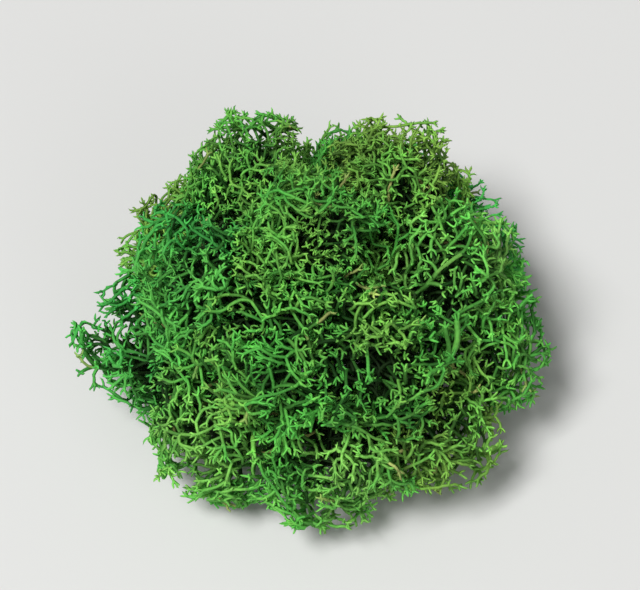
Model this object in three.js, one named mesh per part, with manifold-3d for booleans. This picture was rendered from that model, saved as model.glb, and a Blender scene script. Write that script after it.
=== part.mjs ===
// Reindeer moss clump: a hand-sized cushion of reindeer lichen, lifted from the ground as one tuft.
// Units are millimetres, +Z is up, and the origin is in the middle of the flat foot it rests on.
//
// The clump is made of podetia. Each is one solid: a stem that stands on the ground and ends in a
// rounded head of much-forked branchlets. The heads press against each other in a low, lobed dome,
// in three tiers. Seeded draws make no two of them alike.

import * as THREE from "three";
import Module from "manifold-3d";

const wasm = await Module();
wasm.setup();

// The dome that the heads' middles lie on: half its length along each axis, and its own height.
const DOME_HALF_X = 26.4;
const DOME_HALF_Y = 23.8;
const DOME_HALF_Z = 26;
const DOME_LIFT = 13.4;

// The tiers of heads, from the top down. polar is how far round from the dome's top they lie, start
// is where the tier's first head is, both in degrees, and radius is the size of its heads. shades
// names each head's green, in order.
const TIERS = [
  { name: "crown", polar: 6, start: 110, radius: 14.4, shades: ["mid"] },
  {
    name: "shoulder",
    polar: 46,
    start: -62,
    radius: 14.2,
    shades: ["mid", "bright", "olive", "mid", "blue", "mid"],
  },
  {
    name: "skirt",
    polar: 87,
    start: -92,
    radius: 13.6,
    shades: ["bright", "olive", "mid", "blue", "mid", "bright", "olive", "blue", "bright"],
  },
];
const PLACING_SEED = 40127;
const POLAR_SCATTER = 4;
const AROUND_SCATTER = 0.11;
const DOME_SCATTER = 0.05;
const RADIUS_SCATTER = 0.06;

// The stems fan out from one point under the ground, so that none of them crosses another.
const FAN_DEPTH = 20;
const WALL_CLEARANCE = 0.17;
const GROUND_CLEARANCE = 0.5;

// The stem: its foot on the ground, its waist, and the neck that widens into the head.
const STEM_SIDES = 8;
const FOOT_RADIUS = 5;
const WAIST_RADIUS = 2.3;
const WAIST_HEIGHT = 5;
const NECK_RADIUS = 4;
const NECK_SHARE = 0.6;

// The head's core, as a share of the head's radius.
const CORE_SHARE = 0.48;
const CORE_DETAIL = 1;
const CORE_SCATTER = 0.14;

// The branchlets: three-sided, forked in three at each joint, and thinner by a step at each fork.
// Each step's length is a share of the whole branchlet's.
const BRANCHLET_SEED = 7919;
const BRANCHLETS = 15;
const LOWEST_LEAN = -0.45;
const ROOT_SHARE = 0.72;
const ROOT_FLARE = 1.15;
const BRANCH_RADII = [0.66, 0.52];
const STEP_SHARES = [0.42, 0.32, 0.32];
const STEP_SCATTER = 0.15;
const FORK_SPREADS = [42, 48];
const SPREAD_SCATTER = 9;
const FORK_CROWN = 0.55;
const SHORTEST_FREE = 2.4;
const SHORT_FREE = 4.2;

// A tall stem has a few short branchlets of its own, at these shares of its length.
const TALL_STEM = 25;
const SIDE_SHARES = [0.32, 0.45, 0.58];
const SIDE_LENGTH = 6;

const GOLDEN_ANGLE = Math.PI * (3 - Math.sqrt(5));
const GREENS = { mid: "#468c34", bright: "#58a03c", blue: "#2f8044", olive: "#66883a" };

const UP = new THREE.Vector3(0, 0, 1);
const fanPoint = new THREE.Vector3(0, 0, -FAN_DEPTH);
const domeMiddle = new THREE.Vector3(0, 0, DOME_LIFT);

// A seeded row of draws, so that the clump comes out the same every time.
function makeDice(seed) {
  let state = seed;
  return (low, high) => {
    state = (state * 48271) % 2147483647;
    return low + (high - low) * (state / 2147483647);
  };
}

// The podetia: the middle and radius of each head, and where its stem meets the ground.
function placeHeads() {
  const dice = makeDice(PLACING_SEED);
  const heads = [];
  for (const tier of TIERS) {
    const count = tier.shades.length;
    for (let k = 0; k < count; k++) {
      const step = (360 * (k + dice(-AROUND_SCATTER, AROUND_SCATTER))) / count;
      const around = THREE.MathUtils.degToRad(tier.start + step);
      const polar = THREE.MathUtils.degToRad(tier.polar + dice(-POLAR_SCATTER, POLAR_SCATTER));
      const swell = 1 + dice(-DOME_SCATTER, DOME_SCATTER);
      const middle = new THREE.Vector3(
        DOME_HALF_X * swell * Math.sin(polar) * Math.cos(around),
        DOME_HALF_Y * swell * Math.sin(polar) * Math.sin(around),
        DOME_LIFT + DOME_HALF_Z * swell * Math.cos(polar)
      );
      const ray = middle.clone().sub(fanPoint);
      heads.push({
        name: count === 1 ? tier.name : `${tier.name}_${k + 1}`,
        shade: tier.shades[k],
        middle,
        radius: tier.radius * (1 + dice(-RADIUS_SCATTER, RADIUS_SCATTER)),
        foot: fanPoint.clone().addScaledVector(ray, FAN_DEPTH / ray.z),
      });
    }
  }
  return heads;
}

// The walls of a head's room, as planes that face outwards. One lies half-way to each of the other
// heads, and the last is just above the ground.
function wallsOfHead(head, heads) {
  const walls = heads
    .filter((other) => other !== head)
    .map((other) => {
      const normal = other.middle.clone().sub(head.middle).normalize();
      const halfWay = head.middle.clone().lerp(other.middle, 0.5);
      return new THREE.Plane(normal, WALL_CLEARANCE - normal.dot(halfWay));
    });
  walls.push(new THREE.Plane(UP.clone().negate(), GROUND_CLEARANCE));
  return walls;
}

// The walls between the stems all pass through the fan point.
function wallsOfStem(head, heads) {
  const own = head.middle.clone().sub(fanPoint);
  return heads
    .filter((other) => other !== head)
    .map((other) => {
      const their = other.middle.clone().sub(fanPoint);
      const between = own.clone().add(their).normalize();
      const normal = their.sub(own).projectOnPlane(between).normalize();
      return new THREE.Plane(normal, WALL_CLEARANCE - normal.dot(fanPoint));
    });
}

// How far a straight line runs from a point before it meets a wall, up to a limit.
function freeLength(from, direction, walls, limit) {
  return walls.reduce((free, wall) => {
    const slope = wall.normal.dot(direction);
    return slope > 0 ? Math.min(free, -wall.distanceToPoint(from) / slope) : free;
  }, limit);
}

// Moves a point back inside a room's walls and its round outline.
function keepInside(point, room, thickness) {
  for (const wall of room.walls) {
    const over = wall.distanceToPoint(point) + thickness;
    if (over > 0) point.addScaledVector(wall.normal, -over);
  }
  const out = point.clone().sub(room.middle).clampLength(0, room.radius - thickness);
  return point.copy(room.middle).add(out);
}

function solidFrom(points, triangles) {
  const vertProperties = new Float32Array(points.flatMap((point) => point.toArray()));
  const triVerts = new Uint32Array(triangles.flat());
  return new wasm.Manifold(new wasm.Mesh({ numProp: 3, vertProperties, triVerts }));
}

// Three corners round a branchlet's axis, the first of them on the side of a given point.
function cornersRound(middle, direction, radius, side) {
  const first = side.clone().sub(middle).projectOnPlane(direction).setLength(radius);
  return [0, 1, 2].map((k) => {
    const spoke = first.clone().applyAxisAngle(direction, (2 * Math.PI * k) / 3);
    return middle.clone().add(spoke);
  });
}

// One branchlet as a closed mesh. Its three-sided stalk splits in three at its end, as many times
// as forks says, and the last three of each are pointed tips.
function branchletSolid(root, direction, length, room, dice, forks) {
  const points = [];
  const triangles = [];
  const keep = (point) => points.push(point) - 1;

  function grow(corners, start, heading, level) {
    const reach = length * STEP_SHARES[level] * (1 + dice(-STEP_SCATTER, STEP_SCATTER));
    const end = start.clone().addScaledVector(heading, reach);
    if (level === forks) {
      const tip = keep(keepInside(end, room, 0));
      corners.forEach((corner, k) => triangles.push([corner, corners[(k + 1) % 3], tip]));
      return;
    }
    const radius = BRANCH_RADII.at(level - forks);
    keepInside(end, room, radius);
    const forward = end.clone().sub(start).normalize();
    const side = points[corners[0]].clone().sub(start).add(end);
    const ring = cornersRound(end, forward, radius, side).map(keep);
    const crownPoint = end.clone().addScaledVector(forward, radius * FORK_CROWN);
    const crown = keep(keepInside(crownPoint, room, 0));
    for (let k = 0; k < 3; k++) {
      const next = (k + 1) % 3;
      triangles.push([corners[k], corners[next], ring[next]], [corners[k], ring[next], ring[k]]);
    }
    for (let k = 0; k < 3; k++) {
      const base = [ring[k], ring[(k + 1) % 3], crown];
      const [left, right, top] = base.map((corner) => points[corner]);
      const sideways = left.clone().add(right).addScaledVector(end, -2).normalize();
      const lean = FORK_SPREADS[level] + dice(-SPREAD_SCATTER, SPREAD_SCATTER);
      const spread = THREE.MathUtils.degToRad(lean);
      const onward = forward.clone().multiplyScalar(Math.cos(spread));
      onward.addScaledVector(sideways, Math.sin(spread));
      grow(base, left.clone().add(right).add(top).divideScalar(3), onward, level + 1);
    }
  }

  const spin = new THREE.Vector3(dice(-1, 1), dice(-1, 1), dice(-1, 1)).add(root);
  const rootRadius = BRANCH_RADII.at(-forks) * ROOT_FLARE;
  const rootCorners = cornersRound(root, direction, rootRadius, spin).map(keep);
  triangles.push(rootCorners.toReversed());
  grow(rootCorners, root, direction, 0);
  return solidFrom(points, triangles);
}

// The stem: a flat foot that fills its share of the clump's base, a waist, and a neck that ends
// inside the core.
function stemSolid(head, walls) {
  const rise = head.middle.clone().sub(head.foot);
  const rings = [
    { share: 0, radius: FOOT_RADIUS },
    { share: WAIST_HEIGHT / rise.z, radius: WAIST_RADIUS },
    { share: NECK_SHARE, radius: NECK_RADIUS },
    { share: 1, radius: NECK_RADIUS },
  ];
  const points = [];
  const triangles = [];
  rings.forEach((ring, level) => {
    const middle = head.foot.clone().addScaledVector(rise, ring.share);
    for (let k = 0; k < STEM_SIDES; k++) {
      const spoke = new THREE.Vector3(1, 0, 0).applyAxisAngle(UP, (2 * Math.PI * k) / STEM_SIDES);
      const reach = freeLength(middle, spoke, walls, ring.radius);
      points.push(middle.clone().addScaledVector(spoke, reach));
      if (level > 0) {
        const a = (level - 1) * STEM_SIDES + k;
        const b = (level - 1) * STEM_SIDES + ((k + 1) % STEM_SIDES);
        triangles.push([a, b, b + STEM_SIDES], [a, b + STEM_SIDES, a + STEM_SIDES]);
      }
    }
  });
  const top = (rings.length - 1) * STEM_SIDES;
  for (let k = 1; k < STEM_SIDES - 1; k++) {
    triangles.push([0, k + 1, k], [top, top + k, top + k + 1]);
  }
  return solidFrom(points, triangles);
}

// The head's core: the dense, uneven middle where the branchlets join.
function coreSolid(room, stemWalls, dice) {
  const walls = [...room.walls, ...stemWalls];
  const ball = new THREE.IcosahedronGeometry(1, CORE_DETAIL).getAttribute("position");
  const places = new Map();
  const points = [];
  const order = [];
  for (let i = 0; i < ball.count; i++) {
    const direction = new THREE.Vector3().fromBufferAttribute(ball, i);
    const place = direction.toArray().map((value) => value.toFixed(4)).join();
    if (!places.has(place)) {
      const radius = room.radius * CORE_SHARE * (1 + dice(-CORE_SCATTER, CORE_SCATTER));
      const reach = freeLength(room.middle, direction, walls, radius);
      places.set(place, points.push(direction.multiplyScalar(reach).add(room.middle)) - 1);
    }
    order.push(places.get(place));
  }
  const triangles = [];
  for (let i = 0; i < order.length; i += 3) triangles.push(order.slice(i, i + 3));
  return solidFrom(points, triangles);
}

// Directions spread evenly, on a spiral, over the part of a ball that faces a given way.
function evenDirections(count, facing, turn) {
  const tilt = new THREE.Quaternion().setFromUnitVectors(UP, facing);
  return Array.from({ length: count }, (_, k) => {
    const height = 1 - ((1 - LOWEST_LEAN) * (k + 0.5)) / count;
    const level = Math.sqrt(1 - height * height);
    const around = GOLDEN_ANGLE * k + turn;
    const direction = new THREE.Vector3(level * Math.cos(around), level * Math.sin(around), height);
    return direction.applyQuaternion(tilt);
  });
}

// The branchlets of one head, on all of its free sides. Where a neighbour leaves little room, a
// branchlet forks only once.
function headBranchlets(room, dice) {
  const core = room.radius * CORE_SHARE;
  const outward = room.middle.clone().sub(domeMiddle).normalize();
  const solids = [];
  for (const direction of evenDirections(BRANCHLETS, outward, dice(0, 2 * Math.PI))) {
    const free = freeLength(room.middle, direction, room.walls, room.radius) - core;
    if (free < SHORTEST_FREE) continue;
    const root = room.middle.clone().addScaledVector(direction, core * ROOT_SHARE);
    const length = free + core * (1 - ROOT_SHARE);
    solids.push(branchletSolid(root, direction, length, room, dice, free < SHORT_FREE ? 1 : 2));
  }
  return solids;
}

function stemBranchlets(head, walls, dice) {
  const rise = head.middle.clone().sub(head.foot);
  if (rise.length() < TALL_STEM) return [];
  return SIDE_SHARES.map((share, k) => {
    const middle = head.foot.clone().addScaledVector(rise, share);
    const sideways = new THREE.Vector3(1, 0, 0).applyAxisAngle(UP, k * GOLDEN_ANGLE);
    const direction = sideways.projectOnPlane(rise.clone().normalize()).normalize();
    const room = { middle, radius: SIDE_LENGTH, walls };
    return branchletSolid(middle, direction, SIDE_LENGTH, room, dice, 1);
  });
}

function podetiumMesh(head, heads, index) {
  const dice = makeDice(BRANCHLET_SEED * (index + 3));
  const room = { middle: head.middle, radius: head.radius, walls: wallsOfHead(head, heads) };
  const stemWalls = wallsOfStem(head, heads);
  const whole = wasm.Manifold.union([
    stemSolid(head, stemWalls),
    coreSolid(room, stemWalls, dice),
    ...headBranchlets(room, dice),
    ...stemBranchlets(head, stemWalls, dice),
  ]);
  const { vertProperties, triVerts } = whole.getMesh();
  const geometry = new THREE.BufferGeometry();
  geometry.setAttribute("position", new THREE.BufferAttribute(vertProperties, 3));
  geometry.setIndex(new THREE.BufferAttribute(triVerts, 1));
  const color = GREENS[head.shade];
  const material = new THREE.MeshStandardMaterial({ color, roughness: 0.9, metalness: 0 });
  const mesh = new THREE.Mesh(geometry, material);
  mesh.name = head.name;
  return mesh;
}

const group = new THREE.Group();
const heads = placeHeads();
heads.forEach((head, index) => group.add(podetiumMesh(head, heads, index)));

export default group;
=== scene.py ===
import math

import bpy
import numpy as np
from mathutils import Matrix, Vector, kdtree


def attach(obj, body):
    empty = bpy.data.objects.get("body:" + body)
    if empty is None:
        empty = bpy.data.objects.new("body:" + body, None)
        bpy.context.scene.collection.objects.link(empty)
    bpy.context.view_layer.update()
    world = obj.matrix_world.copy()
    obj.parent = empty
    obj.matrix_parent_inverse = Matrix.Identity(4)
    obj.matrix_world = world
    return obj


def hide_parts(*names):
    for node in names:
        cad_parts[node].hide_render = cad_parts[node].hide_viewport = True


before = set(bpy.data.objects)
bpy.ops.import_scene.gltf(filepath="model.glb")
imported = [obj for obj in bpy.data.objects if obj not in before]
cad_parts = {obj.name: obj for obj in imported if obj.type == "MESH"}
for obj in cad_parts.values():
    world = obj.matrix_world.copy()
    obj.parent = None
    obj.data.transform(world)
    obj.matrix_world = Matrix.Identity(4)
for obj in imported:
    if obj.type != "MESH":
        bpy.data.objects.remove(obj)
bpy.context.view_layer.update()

# The crown. One podetium of reindeer lichen at the top of the dome: a stem of old strands that stands
# on the ground, and a rounded head of springy, much-forked branchlets, preserved and dyed green.
# It grows by forking, and its neighbours press against it on all sides. Lengths are in millimetres.

# The heads' middles lie on a dome, in tiers. A tier has its name, how far down from the dome's top it
# lies and where round the dome its first head is, both in degrees, the heads' radius, and their number.
DOME_HALF = (26.4, 23.8, 26.0)
DOME_LIFT = 13.4
TIERS = (
    ("crown", 6, 110, 14.4, 1),
    ("shoulder", 46, -62, 14.2, 6),
    ("skirt", 87, -92, 13.6, 9),
)
DRAW_SEED = 40127
DRAW_FACTOR = 48271
DRAW_LIMIT = 2**31 - 1
AROUND_SCATTER = 0.11
POLAR_SCATTER = 4
DOME_SCATTER = 0.05
RADIUS_SCATTER = 0.06

# The stems fan out from a point under the ground. Each ends in the heart of its head, this share of
# the head's radius short of its middle. Flat walls half-way between the heads part them.
FAN_POINT = np.array([0.0, 0.0, -20.0])
HEART_SHARE = 0.5
WALL_CLEARANCE = 0.17
GROUND_CLEARANCE = 0.5


def unit(vectors):
    return vectors / np.linalg.norm(vectors, axis=-1, keepdims=True)


def placed_heads():
    """Each head's middle, radius and foot, by the same draws as its solid's, and the walls round it."""
    state = DRAW_SEED

    def draw(low, high):
        nonlocal state
        state = state * DRAW_FACTOR % DRAW_LIMIT
        return low + (high - low) * state / DRAW_LIMIT

    heads = {}
    for tier, tier_polar, start, tier_radius, count in TIERS:
        for k in range(count):
            step = 360 * (k + draw(-AROUND_SCATTER, AROUND_SCATTER)) / count
            around = math.radians(start + step)
            polar = math.radians(tier_polar + draw(-POLAR_SCATTER, POLAR_SCATTER))
            swell = 1 + draw(-DOME_SCATTER, DOME_SCATTER)
            level = math.sin(polar)
            middle = np.array([math.cos(around) * level, math.sin(around) * level, math.cos(polar)])
            middle = middle * swell * DOME_HALF + (0, 0, DOME_LIFT)
            radius = tier_radius * (1 + draw(-RADIUS_SCATTER, RADIUS_SCATTER))
            ray = middle - FAN_POINT
            foot = FAN_POINT + ray * -FAN_POINT[2] / ray[2]
            name = tier if count == 1 else f"{tier}_{k + 1}"
            heads[name] = {"middle": middle, "radius": radius, "foot": foot}
    for number, head in enumerate(heads.values()):
        others = np.array([h["middle"] for h in heads.values() if h is not head])
        apart = unit(others - head["middle"])
        half_way = ((others + head["middle"]) / 2 * apart).sum(1)
        head["number"] = number
        head["normals"] = np.vstack([apart, (0, 0, -1)])
        head["limits"] = np.append(half_way - WALL_CLEARANCE, -GROUND_CLEARANCE)
        head["axis"] = unit(head["middle"] - head["foot"])
        head["heart"] = head["middle"] - head["axis"] * head["radius"] * HEART_SHARE
    return heads


HEADS = placed_heads()

# A ripple is the sum of a few waves, whose pitches are drawn around the one that is asked for.
RIPPLE_WAVES = 9
RIPPLE_SPREAD = (0.7, 1.4)
RIPPLE_PEAK = 3.2


def ripple(points, pitch, seed):
    """A smooth, uneven pattern through space, from about -1 to 1."""
    draws = np.random.RandomState(seed)
    waves = unit(draws.normal(size=(RIPPLE_WAVES, 3))) * (2 * math.pi / pitch)
    waves = waves * draws.uniform(*RIPPLE_SPREAD, (RIPPLE_WAVES, 1))
    phases = draws.uniform(0, 2 * math.pi, RIPPLE_WAVES)
    return np.sin(points @ waves.T + phases).sum(1) / RIPPLE_PEAK


# The branchlets of a head end in rounded tufts, which touch its outline from inside. The strands of a
# tuft fan out from its root.
TUFT_SEED = 500
TUFT_PITCH = 8.5
TUFT_PACKING = 0.87
TUFT_SCATTER = 0.17
TUFT_RADIUS = (3.2, 4.8)
TUFT_ROOT = 5
GOLDEN_ANGLE = math.pi * (3 - math.sqrt(5))


def set_tufts(head):
    """Spreads the tufts evenly over the head, and gives each a number of its own for its shade."""
    draws = np.random.RandomState(TUFT_SEED + head["number"])
    count = round(4 * math.pi * (head["radius"] / TUFT_PITCH) ** 2 / TUFT_PACKING)
    level = 1 - (2 * np.arange(count) + 1) / count
    turn = np.arange(count) * GOLDEN_ANGLE + draws.uniform(0, 2 * math.pi)
    ring = np.sqrt(1 - level**2)
    ways = np.column_stack([ring * np.cos(turn), ring * np.sin(turn), level])
    ways = unit(ways + draws.uniform(-TUFT_SCATTER, TUFT_SCATTER, ways.shape))
    head["tuft_radii"] = draws.uniform(*TUFT_RADIUS, count)
    head["tufts"] = head["middle"] + ways * (head["radius"] - head["tuft_radii"])[:, None]
    head["tuft_roots"] = head["tufts"] - ways * TUFT_ROOT
    head["tuft_numbers"] = draws.uniform(size=count)


for each in HEADS.values():
    set_tufts(each)

# The outline of the clump. The points of the branchlets need a little room inside a head's radius.
# Below the tufts a head is one body. Heads meet in creases of this width, and the whole swells and
# sinks slowly.
POINT_ROOM = 0.8
TUFT_DEPTH = 3.0
CREASE = 1.3
SWELL = 0.9
SWELL_PITCH = 19
SWELL_SEED = 71


def depth_in_head(points, head):
    """How deep the points lie under the outline of the clump, and the tuft that they are in."""
    inside = head["tuft_radii"] - np.linalg.norm(points[:, None] - head["tufts"], axis=2)
    depths = [h["radius"] - np.linalg.norm(points - h["middle"], axis=1) for h in HEADS.values()]
    depths = np.array(depths) - POINT_ROOM
    body = depths[head["number"]] + POINT_ROOM - TUFT_DEPTH
    depths[head["number"]] = np.maximum(inside.max(1), body)
    whole = CREASE * np.log(np.exp(depths / CREASE).sum(0))
    return whole + SWELL * ripple(points, SWELL_PITCH, SWELL_SEED), inside.argmax(1)


def between(values, start, end):
    """0 before the start, 1 beyond the end, and even steps from one to the other."""
    return np.clip((values - start) / (end - start), 0, 1)


# Two neighbours meet in a wavy seam, and reach a little way into each other. Pits are sunk into each
# head, and wider dips into them all, where a ripple rises over its bank. They grow shallow near the
# ground.
SEAM_WAVE = 1.6
SEAM_PITCH = 10
SEAM_SEED = 100
SEAM_REACH = 0.9
PIT_PITCH = 6.4
PIT_SEED = 31
PIT_BANK = 0.2
PIT_DEPTH = 4.8
DIP_PITCH = 15
DIP_SEED = 83
DIP_BANK = 0.25
DIP_SLOPE = 6
DIP_DEPTH = 2
HOLLOWS_HEIGHT = 22
LEAST_HOLLOW = 0.25


def room_left(points, head, pit_slope):
    """How far the points are inside the head's room, with its pits and its wavy seams."""
    walls = head["limits"] - points @ head["normals"].T
    others = [k for k in range(len(HEADS)) if k != head["number"]]
    for column, other in enumerate(others):
        low, high = sorted((other, head["number"]))
        wave = SEAM_WAVE * ripple(points, SEAM_PITCH, SEAM_SEED + len(HEADS) * low + high)
        walls[:, column] += wave if other == high else -wave
    walls[:, :-1] += SEAM_REACH
    pits = ripple(points, PIT_PITCH, PIT_SEED + head["number"]) - PIT_BANK
    dips = ripple(points, DIP_PITCH, DIP_SEED) - DIP_BANK
    hollow = np.clip(pits * pit_slope, 0, PIT_DEPTH) + np.clip(dips * DIP_SLOPE, 0, DIP_DEPTH)
    hollow *= np.maximum(between(points[:, 2], 0, HOLLOWS_HEIGHT), LEAST_HOLLOW)
    return np.minimum(walls.min(1), depth_in_head(points, head)[0] - hollow)


def clear_of(points, spacing, taken):
    """Which points are clear of those taken before, and of each other."""
    trees = []
    for places in (taken, points):
        tree = kdtree.KDTree(len(places))
        for k, place in enumerate(places):
            tree.insert(place, k)
        tree.balance()
        trees.append(tree)
    kept = np.zeros(len(points), bool)
    for k, place in enumerate(points):
        if trees[0].find(place)[2] >= spacing[k]:
            kept[k] = not any(kept[other] for _, other, _ in trees[1].find_range(place, spacing[k]))
    return kept


STEEP = 0.8


def across(directions):
    """Two directions square to each given one."""
    flat = np.abs(directions[:, 2:]) < STEEP
    first = unit(np.cross(np.where(flat, (0.0, 0.0, 1.0), (1.0, 0.0, 0.0)), directions))
    return first, np.cross(directions, first)


TURN_SCATTER = 0.16
LEAN_SCATTER = 12


def fork(headings, counts, leans, draws):
    """The parent of each child, whether it leads, and its direction. The children are evenly turned
    about their parent's heading. The leader leans away from it by the first angle, in degrees, and
    the others by the second."""
    parent = np.repeat(np.arange(len(headings)), counts)
    order = np.arange(len(parent)) - np.repeat(np.cumsum(counts) - counts, counts)
    turn = draws.uniform(0, 2 * math.pi, len(headings))[parent]
    scatter = draws.uniform(-TURN_SCATTER, TURN_SCATTER, len(parent))
    turn = turn + 2 * math.pi * (order + scatter) / counts[parent]
    lean = np.where(order == 0, leans[0], leans[1])
    lean = np.radians(lean + draws.uniform(-LEAN_SCATTER, LEAN_SCATTER, len(parent)))[:, None]
    first, second = across(headings[parent])
    sideways = first * np.cos(turn)[:, None] + second * np.sin(turn)[:, None]
    return parent, order == 0, headings[parent] * np.cos(lean) + sideways * np.sin(lean)


# The stem is a loose twist of old strands, spread at its foot, drawn in at its waist, and spread
# again in the heart of the head, where each strand's end is the first fork of its own branchlets.
STEM_STRANDS = 6
STEM_STEP = 5
STEM_RADIUS = 0.75
STEM_TAPER = 0.16
STEM_AGE = 0.3
WAIST_WIDTH = 0.9
FOOT_SPREAD, FOOT_CURVE = 1.3, 3
HEART_SPREAD, HEART_CURVE = 2.1, 2.5
STRAND_SCATTER = 0.2
STRAND_TWIST = (0.3, 0.9)
STRAND_SWAY = 0.3
STRAND_BEND = 0.5
STEM_THRUST = 2.4


def stem_of(head, draws):
    """The stem's strands as rows, as in grown, and the place and heading of each one's upper end."""
    axis, heart, foot = head["axis"], head["heart"], head["foot"]
    first, second = (v[0] for v in across(axis[None]))
    steps = max(2, round(np.linalg.norm(heart - foot) / STEM_STEP))
    rows, tips, headings = [], [], []
    for k in range(STEM_STRANDS):
        angle = 2 * math.pi * (k + draws.uniform(-STRAND_SCATTER, STRAND_SCATTER)) / STEM_STRANDS
        twist = draws.uniform(*STRAND_TWIST)
        places = []
        for step in range(steps + 1):
            share = step / steps
            wide = WAIST_WIDTH + FOOT_SPREAD * (1 - share) ** FOOT_CURVE
            wide += HEART_SPREAD * share**HEART_CURVE
            turn = angle + twist * share
            side = first * math.cos(turn) + second * math.sin(turn)
            sway = draws.uniform(-STRAND_SWAY, STRAND_SWAY, 3)
            places.append(foot + (heart - foot) * share + side * wide + sway)
        places[0][2] = 0.0
        for step in range(steps):
            start, end = places[step], places[step + 1]
            bend = (start + end) / 2 + draws.uniform(-STRAND_BEND, STRAND_BEND, 3)
            radius = STEM_RADIUS * (1 - STEM_TAPER * step / steps)
            age_and_shade = STEM_AGE * step / steps
            rows.append([*start, *bend, *end, radius, radius, age_and_shade, draws.uniform(), 0])
        tips.append(places[-1])
        headings.append(unit(places[-1] - heart + axis * STEM_THRUST))
    return np.array(rows), np.array(tips), np.array(headings)


# Deep in a head the strands strive away from a point under its heart. From the first of these depths
# outwards they begin to fan out from their tuft's root, or to lie along the surface, and from the
# second one on they do so fully.
STRIVE_DROP = 2
CURL = 0.7
FAN_DEPTHS = (7.5, 2.5)
FAN_PULL = 0.6
LYING_DEPTHS = (5.2, 1.2)


def aimed(leave, begin, depth, tuft, head, lying):
    """The directions in which the branches end, from those in which they leave their forks."""
    shallow = between(depth, *FAN_DEPTHS)[:, None]
    outward = unit(begin - (head["heart"] - head["axis"] * STRIVE_DROP)) * (1 - shallow)
    outward += unit(begin - head["tuft_roots"][tuft]) * shallow * FAN_PULL
    way = unit(leave + unit(leave + outward * CURL))
    up = unit(begin - head["middle"])
    flatness = lying * between(depth, *LYING_DEPTHS)
    return unit(way - up * ((way * up).sum(1) * flatness)[:, None])


# Forks stand closer where they are weak, and are crowded deep down and near the ground, so that the
# clump can't be seen through.
WEAK_SPACING = 0.4
SPACING_RIPPLE = 0.2
SPACING_PITCH = 11
SPACING_SEED = 5
CROWDING = 0.24
CROWDED_DEPTHS = (5.4, 8.4)
CROWDED_HEIGHTS = (16.8, 2.8)


def spacing_of(begin, depth, strength, head, widest):
    """How far the new forks have to keep from all the others."""
    crowding = np.maximum(between(depth, *CROWDED_DEPTHS), between(begin[:, 2], *CROWDED_HEIGHTS))
    uneven = 1 + SPACING_RIPPLE * ripple(begin, SPACING_PITCH, SPACING_SEED + head["number"])
    uneven = uneven - CROWDING * crowding
    return widest * (WEAK_SPACING + (1 - WEAK_SPACING) * strength) * uneven


# A new fork sends out a leader and two side branches, and each later try two more, which lean further
# over. In even rounds only the new forks try, and in odd ones all that have too few branches.
ROUNDS = 16
TRIES = 4
ENOUGH = 3
FIRST_BRANCHES = 3
FIRST_LEANS = np.array([[20], [54]])
LATER_BRANCHES = 2
LATER_LEANS = np.array([[60], [66]])

# A branch's strength is a share of its parent's. Weak branches are shorter, and one that would come
# within the margin of its head's bounds is shortened twice before it is given up. At its root it is a
# little thicker than at its end, but thinner than its parent.
LEADER_STRENGTH = (0.92, 1)
SIDE_STRENGTH = (0.66, 0.86)
WEAKEST = 0.48
WEAK_LENGTH = 0.3
LENGTH_SCATTER = (0.8, 1.2)
LEAST_LENGTH = 1.1
SHORTENED = (0.75, 0.7)
MARGIN = 0.8
BEND_PULL = 0.6
PARENT_RADIUS = 0.97
ROOT_FLARE = 1.1

# The age-and-shade number runs from 0 at the foot to 1 at the points. At the foot it marks dead, dark stem,
# partly as painted shade. Inside a head it rises towards the outline, so deeper branches are darker, which
# is painted shade. The shade is shared out among the tuft's own number, chance and strength. A bleached
# strand passes its straw colour on to its leader.
DEEPEST_AGE_AND_SHADE = 0.3
AGE_AND_SHADE_RISE = 0.6
PAINTED_SHADE_DEPTHS = (4.75, 0.95)
TUFT_SHADE = 0.4
CHANCE_SHADE = 0.25
STRENGTH_SHADE = 0.35
LIGHTER_STRENGTHS = (6 / 11, 1)
LEAST_BLEACH = 0.3
SPUR_DEPTH = 5


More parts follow.
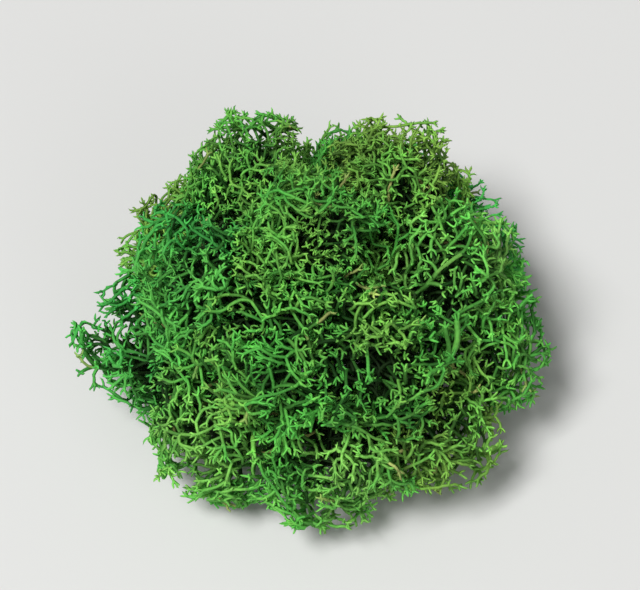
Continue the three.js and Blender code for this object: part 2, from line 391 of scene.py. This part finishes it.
def grown(head, habit, draws):
    """The branches of one podetium, its free ends, and its bare bends near the outside. A branch is a
    row: start, control point, end, radius at both ends, age and painted depth shade, shade, and how
    bleached it is. An end or a bend is a row: place, heading, radius, shade, and how bleached it is."""
    stem, place, heading = stem_of(head, draws)
    branches = [stem]
    vigour, shades, faded = np.ones(len(place)), np.ones(len(place)), np.zeros(len(place))
    tries, kids = np.zeros((2, len(place)), int)
    for round_number in range(ROUNDS):
        fresh = tries == 0
        lacking = (tries < TRIES) & (kids < ENOUGH)
        active = np.flatnonzero(lacking if round_number % 2 else fresh)
        counts = np.where(fresh[active], FIRST_BRANCHES, LATER_BRANCHES)
        leans = np.where(fresh[active], FIRST_LEANS, LATER_LEANS).repeat(counts, axis=1)
        parent, leader, leave = fork(heading[active], counts, leans, draws)
        leader &= fresh[active][parent]
        parent = active[parent]
        tries[active] += 1

        begin = place[parent]
        depth, tuft = depth_in_head(begin, head)
        aside = draws.uniform(*SIDE_STRENGTH, len(parent))
        ahead = draws.uniform(*LEADER_STRENGTH, len(parent))
        strength = np.maximum(vigour[parent] * np.where(leader, ahead, aside), WEAKEST)
        way = aimed(leave, begin, depth, tuft, head, habit["lying"])
        spacing = spacing_of(begin, depth, strength, head, habit["spacing"])
        length = habit["internode"] * (WEAK_LENGTH + (1 - WEAK_LENGTH) * strength)
        length = length * draws.uniform(*LENGTH_SCATTER, len(way))
        length = np.maximum(length, spacing * LEAST_LENGTH)
        for share in SHORTENED:
            out = room_left(begin + way * length[:, None], head, habit["pit_slope"]) < MARGIN
            length = np.where(out, length * share, length)
        end = begin + way * length[:, None]
        index = np.flatnonzero(room_left(end, head, habit["pit_slope"]) > MARGIN)
        draws.shuffle(index)
        index = index[clear_of(end[index], spacing[index], place)]

        control = begin + unit(leave + heading[parent] * BEND_PULL) * length[:, None] * 0.5
        root = habit["radius"] * np.minimum(PARENT_RADIUS * vigour[parent], ROOT_FLARE * strength)
        depth, tuft = depth_in_head(end, head)
        # Painted shade: the deeper a branch's end lies under the outline, the lower its number and the
        # darker its colour.
        age_and_shade = DEEPEST_AGE_AND_SHADE + AGE_AND_SHADE_RISE * between(depth, *PAINTED_SHADE_DEPTHS)
        shade = TUFT_SHADE * head["tuft_numbers"][tuft] + CHANCE_SHADE * draws.uniform(size=len(way))
        shade = shade + STRENGTH_SHADE * between(strength, *LIGHTER_STRENGTHS)
        straw = LEAST_BLEACH + shade * (1 - LEAST_BLEACH)
        fading = np.where(draws.uniform(size=len(way)) < habit["bleached"], straw, 0)
        fading = np.maximum(fading, np.where(leader, faded[parent], 0))
        row = [begin, control, end, root, habit["radius"] * strength, age_and_shade, shade, fading]
        branches.append(np.column_stack(row)[index])

        np.add.at(kids, parent[index], 1)
        place = np.vstack([place, end[index]])
        heading = np.vstack([heading, unit(end - control)[index]])
        vigour = np.append(vigour, strength[index])
        shades = np.append(shades, shade[index])
        faded = np.append(faded, fading[index])
        tries, kids = (np.append(count, np.zeros(len(index), int)) for count in (tries, kids))
    nodes = np.column_stack([place, heading, vigour * habit["radius"], shades, faded])
    bare = (kids == 1) & (depth_in_head(place, head)[0] < SPUR_DEPTH)
    return np.vstack(branches), nodes[kids == 0], nodes[bare]


# The points: three or four on each free end, which make a little crown, and a spur or two at the side
# of each bare bend. They are blunt, and never touch the ground.
POINT_LEAN = 46
POINT_REACH = (0.7, 1.25)
POINT_THRUST = 0.35
POINT_BEND = 0.45
POINT_RADIUS = 0.34
POINT_ROOT = 0.95
POINT_TAPER = 0.6
LOWEST_POINT = 0.3
OWN_SHADE = 0.3
SPURS = (1, 1, 2)
SPUR_LEAN = 64
SPUR_SHARE = 0.75

# The columns of an end's or a bend's row: its heading, and where each new thing begins.
HEADING = slice(3, 6)
NODE_COLUMNS = (3, 6, 7, 8)


def points_on(nodes, numbers, lean, reach, draws):
    """The points of each end or bend, as rows like those of the branches. How many each one gets is
    drawn from the given numbers."""
    counts = draws.choice(numbers, len(nodes))
    parent, _, leave = fork(nodes[:, HEADING], counts, (lean, lean), draws)
    begin, heading, radius, shade, faded = np.split(nodes[parent], NODE_COLUMNS, axis=1)
    reach = reach * draws.uniform(*POINT_REACH, (len(parent), 1))
    end = begin + unit(leave + heading * POINT_THRUST) * reach
    end[:, 2] = np.maximum(end[:, 2], LOWEST_POINT)
    bend = draws.uniform(-POINT_BEND, POINT_BEND, leave.shape)
    control = begin + unit(leave + bend) * reach * 0.5
    shade = (1 - OWN_SHADE) * shade + OWN_SHADE * draws.uniform(size=shade.shape)
    age_and_shade = np.ones(shade.shape)
    radius = np.minimum(radius * POINT_ROOT, POINT_RADIUS)
    return np.hstack([begin, control, end, radius, radius * POINT_TAPER, age_and_shade, shade, faded])


# A branch is a square tube with five rings, and a point is a three-sided one with the rings that its
# habit gives. Each is turned by this angle from the one before, and its inner rings wander a little.
BRANCH_SIDES = 4
BRANCH_RINGS = (0, 0.25, 0.5, 0.75, 1)
BRANCH_CAP = 0.7
POINT_SIDES = 3
TUBE_TURN = 2.4
WANDER = 0.06
WANDER_SEED = 3

# The columns of a branch's or a point's row.
START, CONTROL, END = slice(0, 3), slice(3, 6), slice(6, 9)
ROOT_RADIUS, END_RADIUS = 9, 10
SKIN_NUMBERS = slice(11, 14)


def tubes(rows, sides, shares, cap):
    """Corners, faces and map places of one bent tube for each row, with a ring at each share of its
    length, and a cap that stands out past its end by that part of its radius."""
    start, control, end = rows[:, START], rows[:, CONTROL], rows[:, END]
    first, second = across(unit(end - start))
    spin = np.arange(len(rows)) * TUBE_TURN
    wander = np.random.RandomState(WANDER_SEED).normal(0, WANDER, (len(shares), len(rows), 3))
    rings = []
    for k, share in enumerate(shares):
        middle = start * (1 - share) ** 2 + control * 2 * share * (1 - share) + end * share**2
        if 0 < share < 1:
            middle = middle + wander[k]
        radius = rows[:, ROOT_RADIUS] * (1 - share) + rows[:, END_RADIUS] * share
        for side in range(sides):
            turn = spin + 2 * math.pi * side / sides
            spoke = first * np.cos(turn)[:, None] + second * np.sin(turn)[:, None]
            rings.append(middle + spoke * radius[:, None])
    rings.append(end + unit(end - control) * (rows[:, END_RADIUS] * cap)[:, None])
    corners = np.stack(rings, 1)
    per, bands = corners.shape[1], len(shares)
    last = (bands - 1) * sides
    quads, quad_map, caps, cap_map = [], [], [], []
    for k in range(sides):
        near, far, other = k / sides, (k + 1) / sides, (k + 1) % sides
        for level in range(bands - 1):
            low, high = level / bands, (level + 1) / bands
            a, b = level * sides + k, level * sides + other
            quads.append((a, b, b + sides, a + sides))
            quad_map.append(((near, low), (far, low), (far, high), (near, high)))
        caps.append((last + k, last + other, per - 1))
        cap_map.append(((near, 1 - 1 / bands), (far, 1 - 1 / bands), ((near + far) / 2, 1)))
    base = (np.arange(len(rows)) * per)[:, None, None]
    return corners, np.array(quads)[None] + base, np.array(caps)[None] + base, quad_map, cap_map


# Each tube has a small square of the map, and leaves a gap of this share of it free on each side.
MAP_GAP = 0.1
MILLIMETRES_PER_METRE = 1000


def lichen_mesh(name, branches, points, point_rings):
    """One mesh of all the tubes, with each one's age and painted depth shade, own shade and bleaching for
    the skin to read.
    """
    parts = [
        (*tubes(branches, BRANCH_SIDES, BRANCH_RINGS, BRANCH_CAP), branches[:, SKIN_NUMBERS]),
        (*tubes(points, POINT_SIDES, point_rings, 0), points[:, SKIN_NUMBERS]),
    ]
    cells = math.ceil(math.sqrt(sum(len(part[0]) for part in parts)))
    places, quads, triangles, quad_uv, triangle_uv, numbers = [], [], [], [], [], []
    base = count = 0
    for corners, part_quads, part_caps, quad_map, cap_map, own in parts:
        cell = np.arange(count, count + len(corners))
        corner = np.column_stack([cell % cells, cell // cells])[:, None, None, :] + MAP_GAP
        for face_map, kept in ((quad_map, quad_uv), (cap_map, triangle_uv)):
            square = (corner + (1 - 2 * MAP_GAP) * np.array(face_map)[None]) / cells
            kept.append(square.reshape(-1, 2))
        quads.append((part_quads + base).reshape(-1, 4))
        triangles.append((part_caps + base).reshape(-1, 3))
        places.append(corners.reshape(-1, 3))
        numbers.append(np.repeat(own, corners.shape[1], axis=0))
        base += len(places[-1])
        count += len(corners)
    places, numbers = np.vstack(places) / MILLIMETRES_PER_METRE, np.vstack(numbers)
    places[:, 2] = np.maximum(places[:, 2], 0)
    quads, triangles = np.vstack(quads), np.vstack(triangles)
    mesh = bpy.data.meshes.new(name)
    mesh.vertices.add(len(places))
    mesh.vertices.foreach_set("co", places.astype(np.float32).ravel())
    corners = np.concatenate([quads.ravel(), triangles.ravel()])
    mesh.loops.add(len(corners))
    mesh.loops.foreach_set("vertex_index", corners.astype(np.int32))
    mesh.polygons.add(len(quads) + len(triangles))
    begins = [np.arange(len(quads)) * 4, len(quads) * 4 + np.arange(len(triangles)) * 3]
    mesh.polygons.foreach_set("loop_start", np.concatenate(begins).astype(np.int32))
    mesh.update(calc_edges=True)
    mesh.shade_smooth()
    uv = mesh.uv_layers.new(name="OFBake")
    uv.uv.foreach_set("vector", np.vstack(quad_uv + triangle_uv).astype(np.float32).ravel())
    for column, label in enumerate(("age_and_shade", "own_shade", "bleached")):
        layer = mesh.attributes.new(label, "FLOAT", "POINT")
        layer.data.foreach_set("value", numbers[:, column].astype(np.float32))
    return mesh


# The skin. Noise is given as its scale, in cells a metre, and its detail. EVEN is the span that most
# of it lies in. The shades are factors on the colour.
EVEN = (0.3, 0.7)
PATCH_DETAIL = 2.0
PATCH_SHIFT = 0.2
PATCH_SPAN = (0.34, 0.6)
# The colour goes from the foot's brown to the inner green over the first span of the age-and-shade number,
# and from the inner green to the tips over the second. The inner green is painted shade.
FOOT_AGES = (0.15, 0.42)
SHADE_TO_TIP_AGES = (0.45, 0.98)
STRAND_SHADES = (0.74, 1.36)
GRAIN = (1600.0, 3.0)
GRAIN_SHADES = (0.82, 1.16)
DYE = (130.0, 2.0)
DYE_SPAN = (0.34, 0.66)
DYE_SHADES = (0.76, 1.26)
WAX = (900.0, 2.0)
WAX_ROUGHNESS = (0.66, 0.9)
MEAL = (4200.0, 3.0)

# A mix node has sockets of the same names for each kind of value. These are the ones for colours.
MIX_SHARE, MIX_FIRST, MIX_SECOND, MIX_RESULT = 0, 6, 7, 2


def skin_group():
    """The lichen's skin: dark brown at the foot, partly dead stem and partly painted shade, dark green deep
    inside as painted shade, and dyed green in two patchy shades further out.
    """
    group = bpy.data.node_groups.new("lichen skin", "ShaderNodeTree")
    face = group.interface
    for label in ("Foot", "Shaded Strand", "Tip", "Other Tip", "Straw"):
        face.new_socket(label, in_out="INPUT", socket_type="NodeSocketColor")
    face.new_socket("Patch Scale", in_out="INPUT", socket_type="NodeSocketFloat")
    face.new_socket("Color", in_out="OUTPUT", socket_type="NodeSocketColor")
    face.new_socket("Roughness", in_out="OUTPUT", socket_type="NodeSocketFloat")
    face.new_socket("Height", in_out="OUTPUT", socket_type="NodeSocketFloat")
    nodes, link = group.nodes, group.links.new
    given, out = nodes.new("NodeGroupInput"), nodes.new("NodeGroupOutput")
    place = nodes.new("ShaderNodeTexCoord").outputs["Object"]

    def read(label):
        node = nodes.new("ShaderNodeAttribute")
        node.attribute_name = label
        return node.outputs["Fac"]

    def put(value, socket):
        if isinstance(value, bpy.types.NodeSocket):
            link(value, socket)
        else:
            socket.default_value = value

    def noise(scale, detail):
        node = nodes.new("ShaderNodeTexNoise")
        link(place, node.inputs["Vector"])
        put(scale, node.inputs["Scale"])
        node.inputs["Detail"].default_value = detail
        return node.outputs["Fac"]

    def stretch(value, span, onto=(0.0, 1.0)):
        node = nodes.new("ShaderNodeMapRange")
        link(value, node.inputs["Value"])
        labels = ("From Min", "From Max", "To Min", "To Max")
        for label, number in zip(labels, (*span, *onto)):
            node.inputs[label].default_value = number
        return node.outputs["Result"]

    def mix(share, first, second, kind="MIX"):
        node = nodes.new("ShaderNodeMix")
        node.data_type, node.blend_type = "RGBA", kind
        put(share, node.inputs[MIX_SHARE])
        put(first, node.inputs[MIX_FIRST])
        put(second, node.inputs[MIX_SECOND])
        return node.outputs[MIX_RESULT]

    def combined(kind, first, second):
        node = nodes.new("ShaderNodeMath")
        node.operation = kind
        link(first, node.inputs[0])
        link(second, node.inputs[1])
        return node.outputs[0]

    own_shade, age_and_shade = read("own_shade"), read("age_and_shade")
    shift = stretch(own_shade, (0, 1), (-PATCH_SHIFT, PATCH_SHIFT))
    patch = combined("ADD", noise(given.outputs["Patch Scale"], PATCH_DETAIL), shift)
    tip = mix(stretch(patch, PATCH_SPAN), given.outputs["Tip"], given.outputs["Other Tip"])
    # Painted shade: a low age-and-shade number darkens the colour towards the foot's brown and the inner
    # green.
    colour = mix(stretch(age_and_shade, FOOT_AGES), given.outputs["Foot"], given.outputs["Shaded Strand"])
    colour = mix(stretch(age_and_shade, SHADE_TO_TIP_AGES), colour, tip)
    colour = mix(read("bleached"), colour, given.outputs["Straw"])
    grain = stretch(noise(*GRAIN), EVEN, GRAIN_SHADES)
    shade = combined("MULTIPLY", stretch(own_shade, (0, 1), STRAND_SHADES), grain)
    shade = combined("MULTIPLY", shade, stretch(noise(*DYE), DYE_SPAN, DYE_SHADES))
    grey = nodes.new("ShaderNodeCombineColor")
    for channel in grey.inputs:
        link(shade, channel)
    link(mix(1.0, colour, grey.outputs[0], "MULTIPLY"), out.inputs["Color"])
    link(stretch(noise(*WAX), EVEN, WAX_ROUGHNESS), out.inputs["Roughness"])
    link(noise(*MEAL), out.inputs["Height"])
    return group


SKIN = skin_group()
# The foot's brown is partly dead stem and partly painted shade. The inner green is painted shade, the colour
# of strands deep in the clump.
DEAD_AND_SHADED_BROWN = (0.016, 0.015, 0.008)
PAINTED_SHADE_GREEN = (0.006, 0.046, 0.003)
STRAW = (0.46, 0.42, 0.15)
PATCH_SCALE = 75.0
MEAL_STRENGTH = 0.5
MEAL_HEIGHT = 0.0002
GLOSS = 0.22


def lichen_material(name, tip, other_tip):
    material = bpy.data.materials.new(name)
    material.use_nodes = True
    nodes, link = material.node_tree.nodes, material.node_tree.links.new
    shader = nodes["Principled BSDF"]
    shader.inputs["Specular IOR Level"].default_value = GLOSS
    skin = nodes.new("ShaderNodeGroup")
    skin.node_tree = SKIN
    colours = {"Foot": DEAD_AND_SHADED_BROWN, "Shaded Strand": PAINTED_SHADE_GREEN, "Tip": tip, "Other Tip": other_tip, "Straw": STRAW}
    for label, colour in colours.items():
        skin.inputs[label].default_value = (*colour, 1)
    skin.inputs["Patch Scale"].default_value = PATCH_SCALE
    bump = nodes.new("ShaderNodeBump")
    bump.inputs["Strength"].default_value = MEAL_STRENGTH
    bump.inputs["Distance"].default_value = MEAL_HEIGHT
    link(skin.outputs["Color"], shader.inputs["Base Color"])
    link(skin.outputs["Roughness"], shader.inputs["Roughness"])
    link(skin.outputs["Height"], bump.inputs["Height"])
    link(bump.outputs["Normal"], shader.inputs["Normal"])
    return material


MATERIALS = {
    "lichen_mid_green": lichen_material("mid green lichen", (0.1, 0.49, 0.07), (0.21, 0.51, 0.08)),
    "lichen_bright_green": lichen_material("bright green lichen", (0.12, 0.56, 0.08), (0.23, 0.56, 0.1)),
    "lichen_olive_green": lichen_material("olive green lichen", (0.25, 0.48, 0.075), (0.16, 0.47, 0.07)),
    "lichen_blue_green": lichen_material("blue green lichen", (0.065, 0.46, 0.08), (0.12, 0.5, 0.08)),
}


def podetium(node, slot, habit, seed):
    """Grows the podetium that stands for a node, and gives it its green."""
    draws = np.random.RandomState(seed)
    branches, ends, bends = grown(HEADS[node], habit, draws)
    crowns = points_on(ends, habit["points"], POINT_LEAN, habit["reach"], draws)
    spurs = points_on(bends, SPURS, SPUR_LEAN, habit["reach"] * SPUR_SHARE, draws)
    mesh = lichen_mesh(node + "_lichen", branches, np.vstack([crowns, spurs]), habit["point_rings"])
    mesh.materials.append(MATERIALS[slot])
    piece = bpy.data.objects.new(mesh.name, mesh)
    bpy.context.scene.collection.objects.link(piece)
    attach(piece, "root")
    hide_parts(node)


# The two habits of growth: an open net of coarse strands that lie along the surface, and a fine,
# dense tuft. Spacing, internode and radius are those of the strongest branches. Reach is the length of
# the points on a free end, whose number is drawn from points, and which have rings at these shares.
# Lying is how flat the outer strands lie, pit_slope how steep the pits are, and bleached the share of
# straw.
NET = {
    "spacing": 2.3,
    "internode": 5.4,
    "radius": 0.58,
    "reach": 1.45,
    "points": (3, 3, 3, 4),
    "point_rings": (0, 0.42, 0.8),
    "lying": 0.8,
    "pit_slope": 13.0,
    "bleached": 0.012,
}
TUFT = {
    "spacing": 1.9,
    "internode": 4.4,
    "radius": 0.49,
    "reach": 1.15,
    "points": (3, 4, 4, 4),
    "point_rings": (0, 0.7),
    "lying": 0.55,
    "pit_slope": 8.0,
    "bleached": 0.008,
}
podetium("crown", "lichen_mid_green", TUFT, seed=1)

# The shoulders. Six podetia of the same lichen, in a ring round the crown. Their stems stand on the
# ground and lean outwards, and their heads press against the crown and each other. Nothing ties them
# but their own branchlets. Four are open nets, and two are as finely tufted as the crown.

SHOULDER_SEED = 11
SHOULDERS = (
    ("lichen_mid_green", NET),
    ("lichen_bright_green", NET),
    ("lichen_olive_green", TUFT),
    ("lichen_mid_green", TUFT),
    ("lichen_blue_green", NET),
    ("lichen_mid_green", NET),
)
for k, (slot, habit) in enumerate(SHOULDERS):
    podetium(f"shoulder_{k + 1}", slot, habit, SHOULDER_SEED + k)

# The skirts. Nine podetia of the same lichen, in the lowest ring. Their short stems stand half way out
# from the middle, and their heads hang out all round the clump, close above the ground. They are held
# by the branchlets of the shoulders above them and of each other.

SKIRT_SEED = 21
SKIRTS = (
    ("lichen_bright_green", NET),
    ("lichen_olive_green", NET),
    ("lichen_mid_green", NET),
    ("lichen_blue_green", TUFT),
    ("lichen_mid_green", TUFT),
    ("lichen_bright_green", TUFT),
    ("lichen_olive_green", TUFT),
    ("lichen_blue_green", NET),
    ("lichen_bright_green", NET),
)
for k, (slot, habit) in enumerate(SKIRTS):
    podetium(f"skirt_{k + 1}", slot, habit, SKIRT_SEED + k)

# The floor, the light and the camera. A plain pale floor under two soft lamps, seen from the front
# and well above. Lengths are in metres from here on.

FLOOR_HALF = 2
FLOOR_GREY = (0.63, 0.63, 0.62)
FLOOR_ROUGHNESS = 0.6
floor_corners = [(x * FLOOR_HALF, y * FLOOR_HALF, 0) for x, y in ((-1, -1), (1, -1), (1, 1), (-1, 1))]
floor_mesh = bpy.data.meshes.new("floor")
floor_mesh.from_pydata(floor_corners, [], [(0, 1, 2, 3)])
floor = bpy.data.objects.new("floor", floor_mesh)
bpy.context.scene.collection.objects.link(floor)
paint = bpy.data.materials.new("pale floor")
paint.use_nodes = True
paint_shader = paint.node_tree.nodes["Principled BSDF"]
paint_shader.inputs["Base Color"].default_value = (*FLOOR_GREY, 1)
paint_shader.inputs["Roughness"].default_value = FLOOR_ROUGHNESS
floor_mesh.materials.append(paint)

LAMP_AIM = Vector((0, 0, 0.02))
WORLD_STRENGTH = 0.18


def lamp(name, size, power, place):
    light = bpy.data.lights.new(name, "AREA")
    light.size, light.energy = size, power
    thing = bpy.data.objects.new(name, light)
    thing.location = place
    thing.rotation_euler = (LAMP_AIM - Vector(place)).to_track_quat("-Z", "Y").to_euler()
    bpy.context.scene.collection.objects.link(thing)


lamp("key softbox", size=1.0, power=116, place=(-1.1, -0.7, 3.0))
lamp("front fill", size=3.0, power=28, place=(1.75, -3.0, 2.0))
world = bpy.data.worlds.new("studio")
world.use_nodes = True
world.node_tree.nodes["Background"].inputs["Color"].default_value = (1, 1, 1, 1)
world.node_tree.nodes["Background"].inputs["Strength"].default_value = WORLD_STRENGTH
bpy.context.scene.world = world

CAMERA_ELEVATION = math.radians(61)
CAMERA_TURN = math.radians(-2)
CAMERA_AIM = Vector((0, 0, 0.024))
CAMERA_DISTANCE = 0.4
FOCAL_LENGTH = 140
lens = bpy.data.cameras.new("camera")
lens.lens = FOCAL_LENGTH
camera = bpy.data.objects.new("camera", lens)
level = math.cos(CAMERA_ELEVATION)
back = Vector((math.sin(CAMERA_TURN) * level, -math.cos(CAMERA_TURN) * level, math.sin(CAMERA_ELEVATION)))
camera.location = CAMERA_AIM + back * CAMERA_DISTANCE
camera.rotation_euler = (-back).to_track_quat("-Z", "Y").to_euler()
bpy.context.scene.collection.objects.link(camera)
bpy.context.scene.camera = camera
bpy.context.scene.view_settings.view_transform = "Standard"
